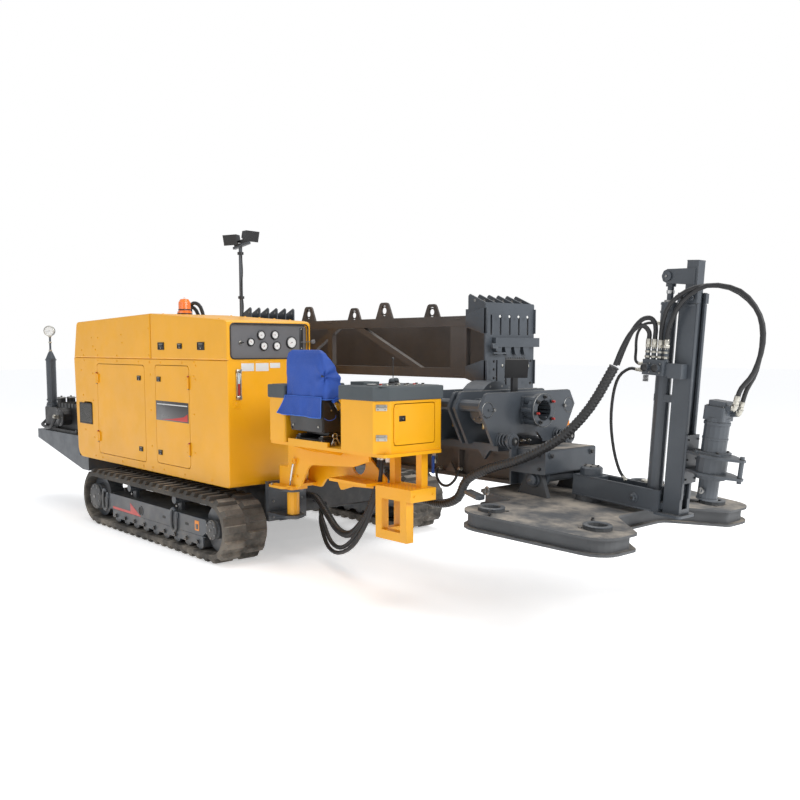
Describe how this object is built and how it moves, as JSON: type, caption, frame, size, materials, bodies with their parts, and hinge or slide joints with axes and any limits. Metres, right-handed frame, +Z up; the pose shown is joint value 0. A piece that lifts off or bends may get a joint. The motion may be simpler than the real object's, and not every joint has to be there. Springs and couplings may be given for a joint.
{
  "type": "horizontal directional drill",
  "caption": "Tracked horizontal directional drill with an engine hood, a swing-out operator's seat, a rod box over the drill frame, vises and a front anchor plate with its auger mast.",
  "frame": {"origin": "middle of the machine's length and width, on the ground", "axes": "+X towards the drilling end, +Y to the rod-box side, +Z up"},
  "size_m": [7.4361, 2.208, 2.5917],
  "materials": {
    "amber": "gloss",
    "black": "satin",
    "console_pad": "matte",
    "cover_blue": "matte",
    "hose": "matte",
    "panel_grey": "satin",
    "rubber": "matte",
    "slate": "satin",
    "steel": "polished",
    "truss_brown": "satin",
    "yellow": "satin"
  },
  "bodies": {
    "machine": {"chassis": "black", "track_left": "rubber", "track_right": "rubber", "track_frame_left": "slate", "track_frame_right": "slate", "hood_body": "yellow", "hood_roof": "yellow", "engine_block": "black", "beacon": "amber", "lamp_pole": "slate", "work_lamps": "black", "pump_platform": "slate", "mud_pump": "black", "pressure_damper": "slate", "swing_bracket": "slate"},
    "rear_door": {"door_rear": "yellow"},
    "front_door": {"door_front": "yellow"},
    "lid": {"hood_lid": "yellow", "gauge_panel": "panel_grey"},
    "station": {"swing_arm": "yellow", "station_tray": "yellow", "console_front": "yellow", "console_front_pad": "console_pad", "console_rear": "yellow", "console_rear_pad": "console_pad", "seat": "black", "seat_cover": "cover_blue", "conduit_station": "hose"},
    "station_door": {"console_door": "yellow"},
    "frame": {"drill_frame": "truss_brown", "frame_nose": "slate", "vise_front": "slate", "vise_lamp": "black", "rod_box_truss_near": "truss_brown", "rod_box_truss_far": "truss_brown", "rod_box_sheet": "truss_brown", "rod_box_end_front": "slate", "rod_box_end_rear": "slate", "conduit_anchor": "hose"},
    "lift_barrel": {"lift_barrel": "slate"},
    "lift_rod": {"lift_rod": "steel"},
    "carriage": {"drill_head": "slate"},
    "spindle": {"spindle": "steel"},
    "breakout": {"vise_breakout": "slate"},
    "loader": {"loader_arms": "slate"},
    "plate": {"anchor_plate": "slate"},
    "mast": {"mast_arm": "slate", "mast_tube": "slate", "feed_cylinder": "slate", "anchor_valve": "slate", "hose_feed": "hose"},
    "slide": {"mast_slide": "slate", "auger_motor": "slate", "hose_auger": "hose"},
    "hub": {"auger_hub": "slate"}
  },
  "joints": [
    {"name": "station_swing", "type": "hinge", "parent": "machine", "child": "station", "pos_m": [0.5672, -0.64, 0.5], "axis": [0, 0, -1], "range_deg": [0, 90], "deforming": ["conduit_station"]},
    {"name": "station_door_hinge", "type": "hinge", "parent": "station", "child": "station_door", "pos_m": [1.9177, -0.8375, 1.13], "axis": [0, 0, -1], "range_deg": [0, 100]},
    {"name": "rear_door_hinge", "type": "hinge", "parent": "machine", "child": "rear_door", "pos_m": [-2.0603, -0.978, 1.0375], "axis": [0, 0, -1], "range_deg": [0, 100]},
    {"name": "front_door_hinge", "type": "hinge", "parent": "machine", "child": "front_door", "pos_m": [-0.3503, -0.978, 1.0485], "axis": [0, 0, 1], "range_deg": [0, 100]},
    {"name": "lid_hinge", "type": "hinge", "parent": "machine", "child": "lid", "pos_m": [-0.9888, -0.595, 1.876], "axis": [0, -1, 0], "range_deg": [0, 60]},
    {"name": "frame_tilt", "type": "hinge", "parent": "machine", "child": "frame", "pos_m": [0.1172, 0.06, 0.8], "axis": [0, 1, 0], "range_deg": [0, 13]},
    {"name": "lift_foot", "type": "hinge", "parent": "machine", "child": "lift_barrel", "pos_m": [-0.4008, 0.06, 0.43], "axis": [0, -1, 0], "range_deg": [0, 1.02]},
    {"name": "lift_stroke", "type": "slide", "parent": "lift_barrel", "child": "lift_rod", "axis": [0.0105, 0, 0.9999], "range_m": [0, 0.119]},
    {"name": "carriage_travel", "type": "slide", "parent": "frame", "child": "carriage", "axis": [1, 0, 0], "range_m": [0, 2.9]},
    {"name": "spindle_spin", "type": "hinge", "parent": "carriage", "child": "spindle", "pos_m": [-1.5128, 0.06, 1.2], "axis": [1, 0, 0], "continuous": true},
    {"name": "breakout_turn", "type": "hinge", "parent": "frame", "child": "breakout", "pos_m": [1.8172, 0.06, 1.2], "axis": [1, 0, 0], "range_deg": [-20, 20]},
    {"name": "loader_slide", "type": "slide", "parent": "frame", "child": "loader", "axis": [0, -1, 0], "range_m": [0, 0.32]},
    {"name": "plate_tilt", "type": "hinge", "parent": "frame", "child": "plate", "pos_m": [2.4372, 0.06, 0.79], "axis": [0, 1, 0], "range_deg": [-16.4, 3], "deforming": ["conduit_anchor", "hose_feed"]},
    {"name": "mast_swing", "type": "hinge", "parent": "plate", "child": "mast", "pos_m": [2.69858, 0.06, 0.70435], "axis": [0.0593, 0, 0.9982], "range_deg": [-100, 100], "deforming": ["conduit_anchor", "hose_feed"]},
    {"name": "anchor_feed", "type": "slide", "parent": "mast", "child": "slide", "axis": [0.0593, 0, 0.9982], "range_m": [-0.03, 0.95], "deforming": ["hose_auger"]},
    {"name": "auger_spin", "type": "hinge", "parent": "slide", "child": "hub", "pos_m": [3.45446, 0.06, 0.62939], "axis": [0.1115, 0, 0.9938], "continuous": true}
  ],
  "couplings": [
    {"joint": "lift_foot", "follows": "frame_tilt", "ratio": 0.0777},
    {"joint": "lift_stroke", "follows": "frame_tilt", "m_per_rad": 0.52}
  ]
}
